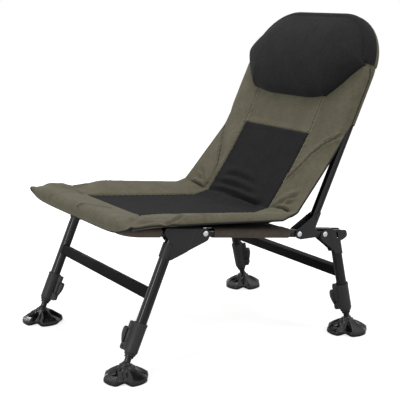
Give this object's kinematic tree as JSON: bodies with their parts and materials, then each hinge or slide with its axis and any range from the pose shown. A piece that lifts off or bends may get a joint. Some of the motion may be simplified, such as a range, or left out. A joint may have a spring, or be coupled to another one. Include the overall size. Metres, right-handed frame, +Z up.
{
  "type": "carp fishing chair",
  "caption": "Low folding fishing chair with a tubular steel frame, padded olive and black mattress, headrest pillow and telescopic legs on swivelling mud feet.",
  "frame": {"origin": "on the ground, under the middle of the chair", "axes": "+Z up; the sitter faces -Y; the sitter's left is +X"},
  "size_m": [0.577, 0.793, 0.7841],
  "materials": {
    "frame_steel": "satin black powder coat on steel tube",
    "bracket_steel": "black powder coat on pressed steel",
    "rivets": "bright zinc rivets and pins",
    "lock_plastic": "moulded dark grey nylon, fine grain",
    "foot_plastic": "moulded black plastic, slight sheen",
    "cap_plastic": "black plastic plugs",
    "sling_cloth": "coarse brown woven polyester",
    "border_cloth": "olive woven polyester, padded",
    "panel_cloth": "black brushed polyester, padded"
  },
  "bodies": {
    "seat_frame": {"seat_rail_left": "frame_steel", "rail_end_cap_left": "cap_plastic", "seat_rail_right": "frame_steel", "rail_end_cap_right": "cap_plastic", "seat_front_tube": "frame_steel", "front_pivot_rivet_left": "rivets", "rear_pivot_rivet_left": "rivets", "back_pivot_rivet_left": "rivets", "front_pivot_rivet_right": "rivets", "rear_pivot_rivet_right": "rivets", "back_pivot_rivet_right": "rivets", "seat_sling": "sling_cloth", "seat_pad": "border_cloth", "crease_pad": "border_cloth"},
    "back": {"back_bracket_left": "bracket_steel", "back_tube_rivet_left": "rivets", "back_tube_left": "frame_steel", "back_bracket_right": "bracket_steel", "back_tube_rivet_right": "rivets", "back_tube_right": "frame_steel", "back_top_tube": "frame_steel", "back_sling": "sling_cloth", "back_pad": "border_cloth", "headrest_pillow": "panel_cloth"},
    "front_legs": {"front_bracket_left": "bracket_steel", "front_leg_tube_left": "frame_steel", "front_left_lock_collar": "lock_plastic", "front_left_lever_pin": "rivets", "front_bracket_right": "bracket_steel", "front_leg_tube_right": "frame_steel", "front_right_lock_collar": "lock_plastic", "front_right_lever_pin": "rivets", "front_crossbar": "frame_steel"},
    "rear_legs": {"rear_bracket_left": "bracket_steel", "rear_leg_tube_left": "frame_steel", "rear_left_lock_collar": "lock_plastic", "rear_left_lever_pin": "rivets", "rear_bracket_right": "bracket_steel", "rear_leg_tube_right": "frame_steel", "rear_right_lock_collar": "lock_plastic", "rear_right_lever_pin": "rivets", "rear_crossbar": "frame_steel"},
    "front_left_lever": {"front_left_lock_lever": "lock_plastic"},
    "front_left_inner_leg": {"front_left_inner_leg": "frame_steel", "front_left_ball_stem": "foot_plastic"},
    "front_left_foot": {"front_left_mud_foot": "foot_plastic"},
    "front_right_lever": {"front_right_lock_lever": "lock_plastic"},
    "front_right_inner_leg": {"front_right_inner_leg": "frame_steel", "front_right_ball_stem": "foot_plastic"},
    "front_right_foot": {"front_right_mud_foot": "foot_plastic"},
    "rear_left_lever": {"rear_left_lock_lever": "lock_plastic"},
    "rear_left_inner_leg": {"rear_left_inner_leg": "frame_steel", "rear_left_ball_stem": "foot_plastic"},
    "rear_left_foot": {"rear_left_mud_foot": "foot_plastic"},
    "rear_right_lever": {"rear_right_lock_lever": "lock_plastic"},
    "rear_right_inner_leg": {"rear_right_inner_leg": "frame_steel", "rear_right_ball_stem": "foot_plastic"},
    "rear_right_foot": {"rear_right_mud_foot": "foot_plastic"}
  },
  "joints": [
    {"name": "back_fold", "type": "hinge", "parent": "seat_frame", "child": "back", "pos_m": [0, 0.11556, 0.27414], "axis": [1, 0, 0], "range_deg": [0, 85], "deforming": ["crease_pad"]},
    {"name": "front_legs_fold", "type": "hinge", "parent": "seat_frame", "child": "front_legs", "pos_m": [0, -0.14525, 0.30801], "axis": [1, 0, 0], "range_deg": [0, 98]},
    {"name": "rear_legs_fold", "type": "hinge", "parent": "seat_frame", "child": "rear_legs", "pos_m": [0, 0.1934, 0.26403], "axis": [1, 0, 0], "range_deg": [-99, 0]},
    {"name": "front_left_leg_slide", "type": "slide", "parent": "front_legs", "child": "front_left_inner_leg", "axis": [0, 0.3971, 0.9178], "range_m": [-0.1, 0]},
    {"name": "front_left_lever_turn", "type": "hinge", "parent": "front_legs", "child": "front_left_lever", "pos_m": [0.22115, -0.34216, 0.07369], "axis": [0.7071, -0.649, 0.2808], "range_deg": [0, 100]},
    {"name": "front_left_foot_tilt", "type": "hinge", "parent": "front_left_inner_leg", "child": "front_left_foot", "pos_m": [0.236, -0.34402, 0.032], "axis": [1, 0, 0], "range_deg": [-45, 12]},
    {"name": "front_right_leg_slide", "type": "slide", "parent": "front_legs", "child": "front_right_inner_leg", "axis": [0, 0.3971, 0.9178], "range_m": [-0.1, 0]},
    {"name": "front_right_lever_turn", "type": "hinge", "parent": "front_legs", "child": "front_right_lever", "pos_m": [-0.22115, -0.3149, 0.06189], "axis": [-0.7071, 0.649, -0.2808], "range_deg": [0, 100]},
    {"name": "front_right_foot_tilt", "type": "hinge", "parent": "front_right_inner_leg", "child": "front_right_foot", "pos_m": [-0.236, -0.34402, 0.032], "axis": [1, 0, 0], "range_deg": [-45, 12]},
    {"name": "rear_left_leg_slide", "type": "slide", "parent": "rear_legs", "child": "rear_left_inner_leg", "axis": [0, -0.2181, 0.9759], "range_m": [-0.1, 0]},
    {"name": "rear_left_lever_turn", "type": "hinge", "parent": "rear_legs", "child": "rear_left_lever", "pos_m": [0.22115, 0.25721, 0.06682], "axis": [0.7071, -0.6901, -0.1543], "range_deg": [0, 100]},
    {"name": "rear_left_foot_tilt", "type": "hinge", "parent": "rear_left_inner_leg", "child": "rear_left_foot", "pos_m": [0.236, 0.28021, 0.032], "axis": [1, 0, 0], "range_deg": [-24, 45]},
    {"name": "rear_right_leg_slide", "type": "slide", "parent": "rear_legs", "child": "rear_right_inner_leg", "axis": [0, -0.2181, 0.9759], "range_m": [-0.1, 0]},
    {"name": "rear_right_lever_turn", "type": "hinge", "parent": "rear_legs", "child": "rear_right_lever", "pos_m": [-0.22115, 0.28619, 0.0733], "axis": [-0.7071, 0.6901, 0.1543], "range_deg": [0, 100]},
    {"name": "rear_right_foot_tilt", "type": "hinge", "parent": "rear_right_inner_leg", "child": "rear_right_foot", "pos_m": [-0.236, 0.28021, 0.032], "axis": [1, 0, 0], "range_deg": [-24, 45]}
  ]
}
